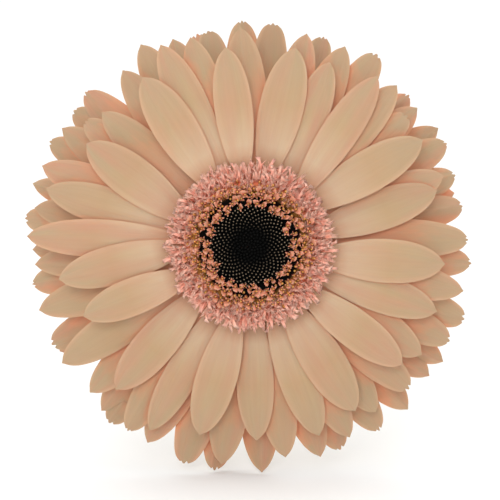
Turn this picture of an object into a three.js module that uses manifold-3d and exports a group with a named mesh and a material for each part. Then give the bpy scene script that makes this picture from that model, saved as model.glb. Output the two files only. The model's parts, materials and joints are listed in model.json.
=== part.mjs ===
// A cut gerbera lying on a flat surface: a large, double flower head on a straight leafless stem.
// Millimetres, +Z up. The head faces -Y and looks a little upwards; the stem runs back along +Y
// to its cut end. The head rests on its lowest ray tips, and the stem on its cut end.
//
// The head is built about its own axis: local z runs out of the face, local y is up the face,
// and z = 0 is the upper face of the receptacle, which the disc florets stand on.
// Every ray floret lies on one of a family of nested, shallow bowls, one bowl for each level,
// so rays that overlap in plan never cut each other: the upper one takes the next free level.
import * as THREE from "three";
import { mergeVertices } from "three/addons/utils/BufferGeometryUtils.js";
import Module from "manifold-3d";

// ---- driving dimensions ----
const GAP = 0.3; // clearance between pieces that touch

const RECEPTACLE_RADIUS = 12.4;
const RECEPTACLE_LIP = 0.5; // of bare rim above the highest ray
const NECK_RADIUS = 3.6; // where the receptacle meets the stem

const RAY_THICKNESS = 0.4;
const RAY_CLAW_WIDTH = 1.3; // narrow foot of a ray floret
const RAY_TIP_WIDTH = 1.4;
const RAY_WIDEST = 0.62; // share of its length at which a ray is widest
const RAY_FOOT_TAPER = 1.4; // power by which it narrows from there to its foot
const RAY_TIP_TAPER = 0.6; // and to its tip, which a low power makes blunt
const RAY_CUP = 0.012; // droop of a ray's edges, per mm squared from its midline
const RAY_SAG = 0.4; // most that a ray's edges droop near its foot
const RAY_ARCH = 0.0026; // how fast every level curves down, per mm squared from the foot
const LEVEL_RISE = 0.8; // between levels at the foot of the rays
const LEVEL_TILT = THREE.MathUtils.degToRad(1.45); // added slope for each level
const LOWEST_TILT = THREE.MathUtils.degToRad(-2); // slope of the lowest level
const COLLAR_WALL = 1.3; // ring in which the claws of the back rays run together

const FLORET_FAN = 0.78; // foot radius of a ring of disc florets, as a share of its top radius
const CLOSED_DISC_RADIUS = 9.5; // dark florets still in bud
const CLOSED_DISC_HEIGHT = 3.6;
const CLOSED_DISC_BEVEL = 0.8; // inwards, round the edge of its top
const CLOSED_DISC_DROP = 0.6; // downwards there
const OPEN_RING_RADIUS = 13.9; // open disc florets
const OPEN_RING_HEIGHT = 5.2;
const OPEN_RING_BEVEL = 0.9;
const OPEN_RING_DROP = 1.0;
const OPEN_RING_MOUTH = 1.2; // from the closed disc out to the ring's flat top
const TRANS_RING_RADIUS = 21.0; // short rays that cover the feet of the long ones
const TRANS_RING_HEIGHT = 4.6;
const TRANS_RING_MOUTH = 0.8; // from the open ring out to its flat top
const TRANS_RING_FLAT = 3.0; // and to where that top starts to fall to the rim
const TRANS_RING_DROP = 1.2; // of its inner edge below the top of the open ring
const TRANS_RIM = 1.0; // thickness of that ring at its outer edge

const BRACT_WALL = 0.9;
const BRACTS_IN_ROW = 17;
const BRACT_TURN = THREE.MathUtils.degToRad(52); // round the receptacle, before it flares
const BRACT_REACH = 17.5; // radius at the tips of the inner row
const OUTER_BRACT_LENGTH = 0.82; // as a share of an inner bract
const BRACT_BEND = 0.5; // share of a bract's length that follows the receptacle
const BRACT_NOTCH = 0.2; // share of it that stands free of its neighbours

const STEM_LENGTH = 372;
const STEM_NECK_RADIUS = 2.7;
const STEM_FOOT_RADIUS = 3.3;
const STEM_BOW = 2.2; // sideways, at its middle

// Ray florets: [direction of the tip in degrees, reach of the tip, width, lean, tier].
// Direction is counter-clockwise from the right as seen from the front. Lean is how many degrees
// the foot stands off that direction. A ray of tier 1 lies over its neighbours of tier 0.
const FRONT_RAYS = [
  [16.5, 49.0, 10.2, -8, 1],
  [31.5, 50.5, 10.6, 4, 1],
  [53.0, 52.6, 9.2, -10, 1],
  [66.5, 49.8, 9.2, -9, 0],
  [77.0, 50.4, 11.0, 1, 1],
  [97.0, 49.2, 9.4, -1, 1],
  [114.0, 54.2, 9.6, -5, 0],
  [122.5, 49.2, 10.8, -1, 1],
  [138.0, 50.0, 9.2, -2, 0],
  [148.0, 48.0, 10.8, 13, 1],
  [164.5, 53.0, 9.7, 2, 0],
  [177.6, 55.6, 9.4, -3, 0],
  [190.0, 48.2, 9.8, -13, 1],
  [203.0, 44.8, 9.3, 4, 1],
  [227.0, 49.5, 10.2, -5, 1],
  [241.5, 53.0, 8.6, 3, 0],
  [255.0, 49.2, 10.3, 5, 1],
  [272.0, 49.2, 9.4, 1, 0],
  [290.0, 51.0, 9.6, -2, 0],
  [302.5, 49.2, 10.8, 0, 1],
  [322.0, 48.3, 9.8, -3, 1],
  [340.5, 49.8, 9.8, -3, 0],
  [354.5, 49.0, 11.0, -6, 1],
];
const MIDDLE_RAYS = [
  [1.5, 55.3, 9.8, 10, 1],
  [20.0, 51.8, 9.6, -2, 1],
  [39.5, 51.3, 9.4, 2, 0],
  [47.5, 54.3, 9.4, -4, 1],
  [64.5, 55.5, 9.8, -6, 0],
  [75.0, 54.8, 9.6, -4, 1],
  [92.5, 54.5, 10.0, -10, 1],
  [106.0, 53.8, 9.0, 0, 1],
  [126.0, 54.8, 9.6, 5, 0],
  [143.0, 52.3, 8.8, 0, 1],
  [148.0, 56.3, 9.6, 6, 0],
  [159.0, 56.0, 9.8, -3, 1],
  [170.0, 55.8, 9.2, 0, 0],
  [185.0, 54.8, 9.2, 0, 0],
  [197.0, 56.0, 9.8, 1, 1],
  [212.0, 56.0, 10.0, -2, 1],
  [222.5, 55.3, 9.6, -3, 0],
  [236.5, 56.3, 9.6, -4, 1],
  [242.5, 56.8, 9.8, 7, 0],
  [262.5, 56.3, 10.0, 4, 1],
  [279.5, 54.5, 9.6, 3, 1],
  [288.5, 56.8, 10.2, -2, 0],
  [297.5, 54.8, 9.4, -3, 1],
  [307.0, 53.0, 9.6, 9, 0],
  [318.0, 54.3, 9.8, -2, 1],
  [327.5, 51.3, 9.8, 5, 1],
  [334.5, 56.3, 9.8, 0, 0],
  [348.0, 55.0, 9.4, -3, 1],
];
const BACK_RAYS = [
  [10.5, 55.3, 9.6, 0, 1],
  [19.0, 55.6, 9.6, 0, 1],
  [27.5, 56.3, 9.8, 0, 1],
  [39.5, 55.1, 9.4, 0, 1],
  [56.5, 57.9, 10.0, 0, 1],
  [84.0, 57.4, 9.8, 0, 1],
  [101.0, 55.8, 9.4, 0, 1],
  [118.5, 58.4, 9.8, 0, 1],
  [137.0, 57.9, 10.2, 0, 1],
  [152.5, 57.6, 9.4, 0, 1],
  [173.0, 58.4, 9.4, 0, 1],
  [190.0, 56.9, 9.8, 0, 1],
  [206.5, 56.6, 9.8, 0, 1],
  [228.0, 57.1, 9.6, 0, 1],
  [253.0, 58.4, 10.4, 0, 1],
  [273.0, 58.4, 10.0, 2, 1],
  [305.0, 57.9, 10.0, 0, 1],
  [324.0, 56.6, 9.6, 0, 1],
  [341.0, 57.9, 9.8, 0, 1],
  [355.5, 56.6, 9.6, 0, 1],
];
const HINDMOST_RAYS = [
  [14.5, 54.4, 9.4, 0, 0],
  [32.0, 57.0, 9.6, 0, 0],
  [43.5, 56.2, 9.4, 0, 0],
  [70.5, 57.0, 9.4, 0, 0],
  [92.0, 58.2, 9.8, 0, 0],
  [104.0, 56.2, 9.2, 0, 0],
  [110.5, 56.5, 9.2, 0, 0],
  [142.5, 57.2, 9.6, 0, 0],
  [164.0, 58.2, 8.6, 0, 0],
  [181.0, 56.0, 9.4, 0, 0],
  [209.0, 56.0, 9.4, 0, 0],
  [231.5, 58.2, 9.6, 0, 0],
  [261.0, 58.6, 9.6, 0, 0],
  [294.0, 57.5, 9.4, 0, 0],
  [314.0, 58.7, 9.8, 0, 0],
  [329.0, 57.7, 9.2, 0, 0],
];

// Facets of the plain solids.
const RAY_STATIONS = [0, 0.2, 0.42, 0.64, 0.82, 0.94, 1];
const ACROSS = [-1, 0, 1];
const BRACT_STATIONS = [0.06, 0.25, BRACT_BEND];
const TURN_SIDES = 32;
const CUP_STEPS = 5;
const STEM_SIDES = 10;
const STEM_STEPS = 16;

// How finely rays are compared in plan, to find which of them overlap.
const PLAN_RING = 2; // width of a ring of the plan
const PLAN_SAMPLES = 40; // along a ray

const wasm = await Module();
wasm.setup();

const PETAL = new THREE.MeshStandardMaterial({ color: 0xcca683, roughness: 0.6 });
const TRANS_FLORET = new THREE.MeshStandardMaterial({ color: 0xc58a78, roughness: 0.7 });
const OPEN_FLORET = new THREE.MeshStandardMaterial({ color: 0x9a6647, roughness: 0.7 });
const DARK_FLORET = new THREE.MeshStandardMaterial({ color: 0x14120f, roughness: 0.6 });
const BRACT = new THREE.MeshStandardMaterial({ color: 0x6f8a45, roughness: 0.7 });
const STALK = new THREE.MeshStandardMaterial({ color: 0x9fae72, roughness: 0.7 });

// ---- shared shapes ----
function mesh(name, geometry, material) {
  const made = new THREE.Mesh(geometry, material);
  made.name = name;
  return made;
}

// A closed skin over rings of points. An open run of rings gets a flat cap at each end.
function loft(rings, closes = false) {
  const sides = rings[0].length;
  const indices = [];
  const runs = closes ? rings.length : rings.length - 1;
  for (let k = 0; k < runs; k++) {
    const next = (k + 1) % rings.length;
    for (let i = 0; i < sides; i++) {
      const j = (i + 1) % sides;
      const [a, b] = [k * sides + i, k * sides + j];
      const [c, d] = [next * sides + j, next * sides + i];
      indices.push(a, b, c, a, c, d);
    }
  }
  const last = (rings.length - 1) * sides;
  for (let i = 1; i + 1 < sides && !closes; i++) {
    indices.push(0, i + 1, i, last, last + i, last + i + 1);
  }
  const geometry = new THREE.BufferGeometry();
  geometry.setAttribute("position", new THREE.Float32BufferAttribute(rings.flat(2), 3));
  geometry.setIndex(indices);
  return geometry;
}

// A profile of [radius, height] pairs turned about z, from the bottom outwards and up.
function turned(profile) {
  const outline = profile.map(([radius, height]) => new THREE.Vector2(radius, height));
  return new THREE.LatheGeometry(outline, TURN_SIDES).rotateX(Math.PI / 2);
}

function turnedRing(profile) {
  return turned([...profile, profile[0]]);
}

function solidOf(geometry) {
  const bare = geometry.clone();
  bare.deleteAttribute("normal");
  bare.deleteAttribute("uv");
  const { attributes, index } = mergeVertices(bare, 1e-4);
  const vertProperties = attributes.position.array;
  return new wasm.Manifold(
    new wasm.Mesh({ numProp: 3, vertProperties, triVerts: new Uint32Array(index.array) }),
  );
}

function joined(geometries) {
  const whole = geometries.map(solidOf).reduce((sum, next) => sum.add(next));
  const { vertProperties, triVerts } = whole.getMesh();
  const geometry = new THREE.BufferGeometry();
  geometry.setAttribute("position", new THREE.BufferAttribute(vertProperties, 3));
  geometry.setIndex(new THREE.BufferAttribute(triVerts, 1));
  return geometry;
}

// ---- where the ray florets lie ----
const RAY_FOOT_RADIUS = RECEPTACLE_RADIUS + GAP;
const BACK_FOOT_RADIUS = RECEPTACLE_RADIUS - COLLAR_WALL / 2;

function plan(radius, degrees) {
  const turn = THREE.MathUtils.degToRad(degrees);
  return new THREE.Vector2(radius * Math.cos(turn), radius * Math.sin(turn));
}

function rayFrom(footRadius, [at, reach, width, lean, tier]) {
  const foot = plan(footRadius, at + lean);
  const tip = plan(reach, at);
  const along = tip.clone().sub(foot).normalize();
  return { foot, tip, side: new THREE.Vector2(-along.y, along.x), width, tier };
}

function halfWidth(ray, along) {
  const [length, power, end] =
    along > RAY_WIDEST
      ? [1 - RAY_WIDEST, RAY_TIP_TAPER, RAY_TIP_WIDTH]
      : [RAY_WIDEST, RAY_FOOT_TAPER, RAY_CLAW_WIDTH];
  const swell = (1 - ((along - RAY_WIDEST) / length) ** 2) ** power;
  return (end + (ray.width - end) * swell) / 2;
}

// The directions that a ray covers, for each ring of the plan.
function cover(ray) {
  const rings = new Map();
  for (let n = 0; n <= PLAN_SAMPLES; n++) {
    const along = n / PLAN_SAMPLES;
    const middle = ray.foot.clone().lerp(ray.tip, along);
    const ring = Math.round(middle.length() / PLAN_RING);
    const half = (halfWidth(ray, along) + GAP) / middle.length();
    rings.set(ring, { turn: middle.angle(), half: Math.max(half, rings.get(ring)?.half ?? 0) });
  }
  return rings;
}

function overlap(a, b) {
  return [...a.cover].some(([ring, here]) => {
    const there = b.cover.get(ring);
    if (!there) return false;
    const turn = THREE.MathUtils.euclideanModulo(here.turn - there.turn + Math.PI, 2 * Math.PI);
    return Math.abs(turn - Math.PI) < here.half + there.half;
  });
}

// Rays settle from the back of the head to the front, each on the first level clear of those
// already there.
function settle(rows) {
  const placed = [];
  for (const row of rows) {
    for (const ray of [...row].sort((a, b) => a.tier - b.tier)) {
      ray.cover = cover(ray);
      const under = placed.filter((other) => overlap(ray, other)).map((other) => other.level);
      ray.level = Math.max(-1, ...under) + 1;
      placed.push(ray);
    }
  }
}

const frontRays = FRONT_RAYS.map((row) => rayFrom(RAY_FOOT_RADIUS, row));
const middleRays = MIDDLE_RAYS.map((row) => rayFrom(RAY_FOOT_RADIUS, row));
const backRays = BACK_RAYS.map((row) => rayFrom(BACK_FOOT_RADIUS, row));
const hindmostRays = HINDMOST_RAYS.map((row) => rayFrom(BACK_FOOT_RADIUS, row));
settle([hindmostRays, backRays, middleRays, frontRays]);
const topLevel = Math.max(...frontRays.map((ray) => ray.level));
const topBackLevel = Math.max(...backRays.map((ray) => ray.level));

function footHeight(level) {
  return (level - topLevel) * LEVEL_RISE - RECEPTACLE_LIP - RAY_THICKNESS / 2;
}

function levelHeight(level, radius) {
  const out = radius - RAY_FOOT_RADIUS;
  const slope = Math.tan(LOWEST_TILT + level * LEVEL_TILT);
  return footHeight(level) + out * slope - RAY_ARCH * out * out;
}

// ---- ray florets ----
function rayFloret(ray) {
  const section = (along) => {
    const middle = ray.foot.clone().lerp(ray.tip, along);
    const skin = (across, lift) => {
      const off = across * halfWidth(ray, along);
      const { x, y } = middle.clone().addScaledVector(ray.side, off);
      const height = levelHeight(ray.level, Math.hypot(x, y)) - RAY_CUP * off * off;
      return [x, y, height + (lift * RAY_THICKNESS) / 2];
    };
    const under = ACROSS.map((across) => skin(across, -1));
    const over = ACROSS.map((across) => skin(across, 1));
    return [...under, ...over.reverse()];
  };
  return loft(RAY_STATIONS.map(section));
}

// The back rays outnumber what separate pieces allow, so their claws run together in a collar.
const collarBottom = footHeight(0) - RAY_THICKNESS;
const collarTop = footHeight(topBackLevel) + RAY_THICKNESS;
const collarInner = RECEPTACLE_RADIUS - COLLAR_WALL;

function backRayFlorets() {
  const collar = turnedRing([
    [collarInner, collarBottom],
    [RECEPTACLE_RADIUS, collarBottom],
    [RECEPTACLE_RADIUS, collarTop],
    [collarInner, collarTop],
  ]);
  return joined([collar, ...[...hindmostRays, ...backRays].map(rayFloret)]);
}

// ---- receptacle and bracts, on arcs about one circle in each half section ----
const flankBottom = collarBottom - GAP;
const cupRadius = RECEPTACLE_RADIUS - NECK_RADIUS;
const neckHeight = flankBottom - cupRadius;

function cupPoint(offset, turn) {
  const radius = cupRadius + offset;
  return [NECK_RADIUS + radius * Math.sin(turn), flankBottom - radius * Math.cos(turn)];
}

function receptacle() {
  const cup = Array.from({ length: CUP_STEPS + 1 }, (_, n) =>
    cupPoint(0, (n / CUP_STEPS) * (Math.PI / 2)),
  );
  return turned([
    [0, neckHeight],
    ...cup,
    [collarInner - GAP, flankBottom],
    [collarInner - GAP, collarTop + GAP],
    [RECEPTACLE_RADIUS, collarTop + GAP],
    [RECEPTACLE_RADIUS, 0],
    [0, 0],
  ]);
}

// Bracts follow the cup and then flare out under the lowest rays, to a point at their tips.
function bractPath(offset, along) {
  const underside = levelHeight(0, BRACT_REACH) - RAY_THICKNESS - RAY_SAG;
  const tip = [BRACT_REACH, underside - GAP];
  const bend = cupPoint(0, BRACT_TURN);
  const flare = new THREE.Vector2(tip[0] - bend[0], tip[1] - bend[1]).normalize();
  if (along <= BRACT_BEND) return cupPoint(offset, (BRACT_TURN * along) / BRACT_BEND);
  const [r, z] = cupPoint(offset, BRACT_TURN);
  const share = (along - BRACT_BEND) / (1 - BRACT_BEND);
  const end = [tip[0] + flare.y * offset, tip[1] - flare.x * offset];
  return [r + (end[0] - r) * share, z + (end[1] - z) * share];
}

// A row of bracts, joined at their feet: a cup whose rim runs from tip to notch to tip.
function bractRow(row, tipAlong) {
  const inset = GAP + row * (BRACT_WALL + GAP);
  const sections = Array.from({ length: BRACTS_IN_ROW * 2 }, (_, n) => {
    const turn = ((n + row) / (BRACTS_IN_ROW * 2)) * 2 * Math.PI;
    const shares = [...BRACT_STATIONS, n % 2 ? tipAlong - BRACT_NOTCH : tipAlong];
    const outer = shares.map((along) => bractPath(inset + BRACT_WALL, along));
    const inner = shares.map((along) => bractPath(inset, along));
    return [...outer, ...inner.reverse()].map(([r, z]) => [
      r * Math.cos(turn),
      r * Math.sin(turn),
      z,
    ]);
  });
  return loft(sections.reverse(), true);
}

// ---- disc and trans florets, three nested rings that fan out from their feet ----
function closedDisc() {
  return turned([
    [0, GAP],
    [CLOSED_DISC_RADIUS * FLORET_FAN, GAP],
    [CLOSED_DISC_RADIUS, CLOSED_DISC_HEIGHT - CLOSED_DISC_DROP],
    [CLOSED_DISC_RADIUS - CLOSED_DISC_BEVEL, CLOSED_DISC_HEIGHT],
    [0, CLOSED_DISC_HEIGHT],
  ]);
}

function openRing() {
  return turnedRing([
    [CLOSED_DISC_RADIUS * FLORET_FAN + GAP, GAP],
    [OPEN_RING_RADIUS * FLORET_FAN, GAP],
    [OPEN_RING_RADIUS, OPEN_RING_HEIGHT - OPEN_RING_DROP],
    [OPEN_RING_RADIUS - OPEN_RING_BEVEL, OPEN_RING_HEIGHT],
    [CLOSED_DISC_RADIUS + OPEN_RING_MOUTH, OPEN_RING_HEIGHT],
    [CLOSED_DISC_RADIUS + GAP, CLOSED_DISC_HEIGHT - CLOSED_DISC_DROP],
  ]);
}

function transRing() {
  const rim = levelHeight(topLevel, TRANS_RING_RADIUS) + RAY_THICKNESS / 2 + GAP;
  return turnedRing([
    [OPEN_RING_RADIUS * FLORET_FAN + GAP, GAP],
    [RECEPTACLE_RADIUS, GAP],
    [TRANS_RING_RADIUS, rim + GAP],
    [TRANS_RING_RADIUS, rim + TRANS_RIM],
    [OPEN_RING_RADIUS + TRANS_RING_FLAT, TRANS_RING_HEIGHT],
    [OPEN_RING_RADIUS + TRANS_RING_MOUTH, TRANS_RING_HEIGHT],
    [OPEN_RING_RADIUS + GAP, OPEN_RING_HEIGHT - TRANS_RING_DROP],
  ]);
}

// ---- stem ----
function scape() {
  const rings = [];
  for (let n = STEM_STEPS; n >= 0; n--) {
    const share = n / STEM_STEPS;
    const radius = THREE.MathUtils.lerp(STEM_NECK_RADIUS, STEM_FOOT_RADIUS, share);
    const z = neckHeight - GAP - share * STEM_LENGTH;
    const bow = STEM_BOW * Math.sin(share * Math.PI) ** 2;
    const section = [];
    for (let i = 0; i < STEM_SIDES; i++) {
      const turn = ((i + 0.5) / STEM_SIDES) * 2 * Math.PI;
      section.push([bow + radius * Math.cos(turn), radius * Math.sin(turn), z]);
    }
    rings.push(section);
  }
  return loft(rings);
}

// ---- the flower, laid down ----
const head = new THREE.Group();
const digits = (n) => String(n + 1).padStart(2, "0");
head.add(mesh("receptacle", receptacle(), STALK));
head.add(mesh("inner_bracts", bractRow(0, 1), BRACT));
head.add(mesh("outer_bracts", bractRow(1, OUTER_BRACT_LENGTH), BRACT));
head.add(mesh("back_ray_florets", backRayFlorets(), PETAL));
middleRays.forEach((ray, n) => {
  head.add(mesh(`middle_ray_floret_${digits(n)}`, rayFloret(ray), PETAL));
});
frontRays.forEach((ray, n) => {
  head.add(mesh(`front_ray_floret_${digits(n)}`, rayFloret(ray), PETAL));
});
head.add(mesh("trans_florets", transRing(), TRANS_FLORET));
head.add(mesh("open_disc_florets", openRing(), OPEN_FLORET));
head.add(mesh("closed_disc_florets", closedDisc(), DARK_FLORET));
const stem = mesh("scape", scape(), STALK);
head.add(stem);

function pointsOf(meshes) {
  return meshes.flatMap(({ geometry: { attributes } }) =>
    Array.from({ length: attributes.position.count }, (_, n) =>
      new THREE.Vector3().fromBufferAttribute(attributes.position, n),
    ),
  );
}

// The slope at which the lowest point of the rays and the lowest point of the stem lie level.
function restingSlope() {
  const rays = pointsOf(head.children.filter(({ name }) => name.includes("ray_floret")));
  const foot = pointsOf([stem]).filter(({ z }) => z < neckHeight - STEM_LENGTH);
  return Math.max(
    ...rays.map((tip) => Math.min(...foot.map((end) => Math.atan2(end.y - tip.y, tip.z - end.z)))),
  );
}

head.rotation.x = Math.PI / 2 - restingSlope();
const box = new THREE.Box3().setFromObject(head, true);
const middle = box.getCenter(new THREE.Vector3());
head.position.set(-middle.x, -middle.y, -box.min.z);

const gerbera = new THREE.Group();
gerbera.add(head);
export default gerbera;
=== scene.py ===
"""A cut gerbera on a pale surface: petals, crest, disc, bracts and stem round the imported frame.

Lengths are metres. The head is made about its own axis, with x to its right, y up its face and
z out of its face, and then placed as the frame's receptacle and disc lie.
"""
import json
import math

import bmesh
import bpy
import numpy as np
from bpy.props import FloatProperty, FloatVectorProperty, IntProperty, PointerProperty
from mathutils import Matrix, Vector
from mathutils.bvhtree import BVHTree

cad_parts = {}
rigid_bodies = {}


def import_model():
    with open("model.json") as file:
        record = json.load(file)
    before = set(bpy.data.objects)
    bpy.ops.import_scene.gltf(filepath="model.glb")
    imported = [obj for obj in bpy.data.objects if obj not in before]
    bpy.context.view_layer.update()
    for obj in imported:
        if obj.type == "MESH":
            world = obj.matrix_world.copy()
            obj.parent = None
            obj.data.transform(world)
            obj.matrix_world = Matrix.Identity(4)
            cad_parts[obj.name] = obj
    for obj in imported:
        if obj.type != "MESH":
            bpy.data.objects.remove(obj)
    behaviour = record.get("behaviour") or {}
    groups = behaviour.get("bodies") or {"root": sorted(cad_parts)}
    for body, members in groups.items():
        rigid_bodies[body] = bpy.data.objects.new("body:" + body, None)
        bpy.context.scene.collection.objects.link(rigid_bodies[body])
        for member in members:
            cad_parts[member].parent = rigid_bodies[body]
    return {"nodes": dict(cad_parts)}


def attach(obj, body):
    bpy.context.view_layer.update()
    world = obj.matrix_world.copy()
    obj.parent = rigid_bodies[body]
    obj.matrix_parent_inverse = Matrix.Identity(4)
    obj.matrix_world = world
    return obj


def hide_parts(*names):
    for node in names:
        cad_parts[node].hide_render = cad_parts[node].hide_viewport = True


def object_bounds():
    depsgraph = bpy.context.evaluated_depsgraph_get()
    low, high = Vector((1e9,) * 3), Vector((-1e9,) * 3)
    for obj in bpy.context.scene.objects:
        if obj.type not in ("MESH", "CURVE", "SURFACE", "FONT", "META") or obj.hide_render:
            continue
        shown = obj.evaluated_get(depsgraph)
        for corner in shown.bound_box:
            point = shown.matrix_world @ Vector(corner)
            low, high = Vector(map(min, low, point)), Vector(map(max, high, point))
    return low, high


bl_info = {
    "name": "Cut gerbera",
    "version": (1, 0, 0),
    "blender": (4, 5, 0),
    "location": "View3D > Sidebar > Gerbera",
    "description": "Builds a double gerbera flower round its packed frame",
    "category": "Add Mesh",
}

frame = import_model()
CAD_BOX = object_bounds()
MM = 0.001
GOLDEN_TURN = math.pi * (3 - math.sqrt(5))  # between one floret of a spiral and the next


# ---- the frame's own shapes, read about the head's axis ----
def node_points(node):
    """The corners of a CAD node, each once."""
    points = np.array([v.co for v in frame["nodes"][node].data.vertices])
    return np.unique(points.round(7), axis=0)


def head_matrix():
    """Places the head: its axis is the direction in which the flat disc is thinnest."""
    disc = node_points("closed_disc_florets")
    centre = disc.mean(0)
    axis = Vector(np.linalg.svd(disc - centre)[2][2])
    if axis.y > 0:
        axis.negate()
    right = Vector((1, 0, 0))
    up = axis.cross(right).normalized()
    pad = node_points("receptacle") - centre
    top = (pad @ np.array(axis)).max()
    matrix = Matrix((right, up, axis)).transposed().to_4x4()
    matrix.translation = Vector(centre) + axis * top
    return matrix


HEAD = head_matrix()
TO_HEAD = np.array(HEAD.inverted())
UP = np.array(HEAD)[2]  # gives a head-frame point's height above the floor


def in_head(points):
    """Points of the frame, about the head's own axis."""
    return points @ TO_HEAD[:3, :3].T + TO_HEAD[:3, 3]


def radii_and_heights(node):
    """How far each corner of a CAD node is from the head's axis, and how far up it."""
    points = in_head(node_points(node))
    return np.hypot(points[:, 0], points[:, 1]), points[:, 2]


PAD_RADIUS = radii_and_heights("receptacle")[0].max()


class Ray:
    """One ray floret of the frame: its midline in plan, its width, and the bowl it lies on."""

    def __init__(self, points):
        plan = points[:, :2]
        centre = plan.mean(0)
        axis = np.linalg.svd(plan - centre)[2][0]
        self.axis = axis if axis @ centre > 0 else -axis
        self.side = np.array((-self.axis[1], self.axis[0]))
        along = (plan - centre) @ self.axis
        off = (plan - centre) @ self.side
        middle = np.abs(off) < 0.2 * MM
        radius = np.hypot(*plan[middle].T)
        self.bowl = np.polyfit(radius, points[middle, 2], 2)
        self.half = np.ptp(off) / 2
        self.tip = centre + self.axis * along.max()
        across = self.tip @ self.side
        self.foot = self.side * across + self.axis * math.sqrt(PAD_RADIUS**2 - across**2)
        self.length = (self.tip - self.foot) @ self.axis
        self.turn = math.atan2(self.tip[1], self.tip[0])


def joined_rays(node):
    """The separate rays of a node whose claws run together in a collar."""
    cut = bmesh.new()
    cut.from_mesh(frame["nodes"][node].data)
    bmesh.ops.remove_doubles(cut, verts=cut.verts, dist=1e-6)
    collar = []
    for vert in cut.verts:
        plan = (HEAD.inverted() @ vert.co).xy
        if plan.length < PAD_RADIUS + MM:
            collar.append(vert)
    bmesh.ops.delete(cut, geom=collar, context="VERTS")
    left, rays = set(cut.verts), []
    while left:
        edge = [left.pop()]
        island = []
        while edge:
            vert = edge.pop()
            island.append(vert.co.copy())
            near = {e.other_vert(vert) for e in vert.link_edges} & left
            left -= near
            edge.extend(near)
        rays.append(Ray(in_head(np.array(island))))
    cut.free()
    return sorted(rays, key=lambda ray: (ray.bowl[2], ray.turn))


# ---- node trees and materials ----
def linear(hex_colour):
    """An sRGB hex colour as the linear colour that shaders and properties hold."""
    parts = [int(hex_colour[n : n + 2], 16) / 255 for n in (1, 3, 5)]
    return [c / 12.92 if c <= 0.04045 else ((c + 0.055) / 1.055) ** 2.4 for c in parts]


def add(tree, kind, inputs=None, output=None, stops=(), **values):
    """Adds a node with its settings, links or sets its inputs, and returns one of its outputs.

    Stops are the (position, linear colour) pairs of a colour ramp, in order."""
    node = tree.nodes.new(kind)
    for name, value in values.items():
        setattr(node, name, value)
    for key, value in (inputs or {}).items():
        if isinstance(value, bpy.types.NodeSocket):
            tree.links.new(value, node.inputs[key])
        else:
            node.inputs[key].default_value = value
    for number, (position, shade) in enumerate(stops):
        elements = node.color_ramp.elements
        element = elements[number] if number < 2 else elements.new(position)
        element.position = position
        element.color = (*shade, 1)
    if output is not None:
        return node.outputs[output]
    # A node has an output of each kind of data, and the one in use is enabled.
    return next((socket for socket in node.outputs if socket.enabled), None)


def new_material(name, **surface):
    """A material with one Principled shader, whose constant sockets are set here."""
    material = bpy.data.materials.new(name)
    material.use_nodes = True
    tree = material.node_tree
    shader = tree.nodes["Principled BSDF"]
    for socket, value in surface.items():
        shader.inputs[socket.replace("_", " ")].default_value = value
    return material, tree, shader


def mottled(name, size_mm, low, high, **surface):
    """A material of two colours in soft blotches of about this size."""
    material, tree, shader = new_material(name, **surface)
    where = add(tree, "ShaderNodeTexCoord", output="Object")
    noise = add(tree, "ShaderNodeTexNoise", {"Vector": where, "Scale": 1 / (size_mm * MM)})
    shade = add(tree, "ShaderNodeValToRGB", {"Fac": noise}, stops=[(0.3, low), (0.7, high)])
    tree.links.new(shade, shader.inputs["Base Color"])
    return material


def tissue(name, stops, tint, tint_share, grain_mm, grain_depth, **surface):
    """Soft plant tissue, coloured along its length, with a tint from floret to floret."""
    material, tree, shader = new_material(name, **surface)
    along, chance = (
        add(tree, "ShaderNodeAttribute", output="Fac", attribute_name=key)
        for key in ("along", "tint")
    )
    body = add(tree, "ShaderNodeValToRGB", {"Fac": along}, stops=stops)
    share = add(tree, "ShaderNodeMath", {0: chance, 1: tint_share}, operation="MULTIPLY")
    inputs = {"Factor": share, "A": body, "B": (*tint, 1)}
    shade = add(tree, "ShaderNodeMix", inputs, data_type="RGBA")
    tree.links.new(shade, shader.inputs["Base Color"])
    where = add(tree, "ShaderNodeTexCoord", output="Object")
    grain = add(tree, "ShaderNodeTexNoise", {"Vector": where, "Scale": 1 / (grain_mm * MM)})
    inputs = {"Height": grain, "Distance": grain_depth * MM, "Strength": 1.0}
    tree.links.new(add(tree, "ShaderNodeBump", inputs), shader.inputs["Normal"])
    return material


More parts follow.
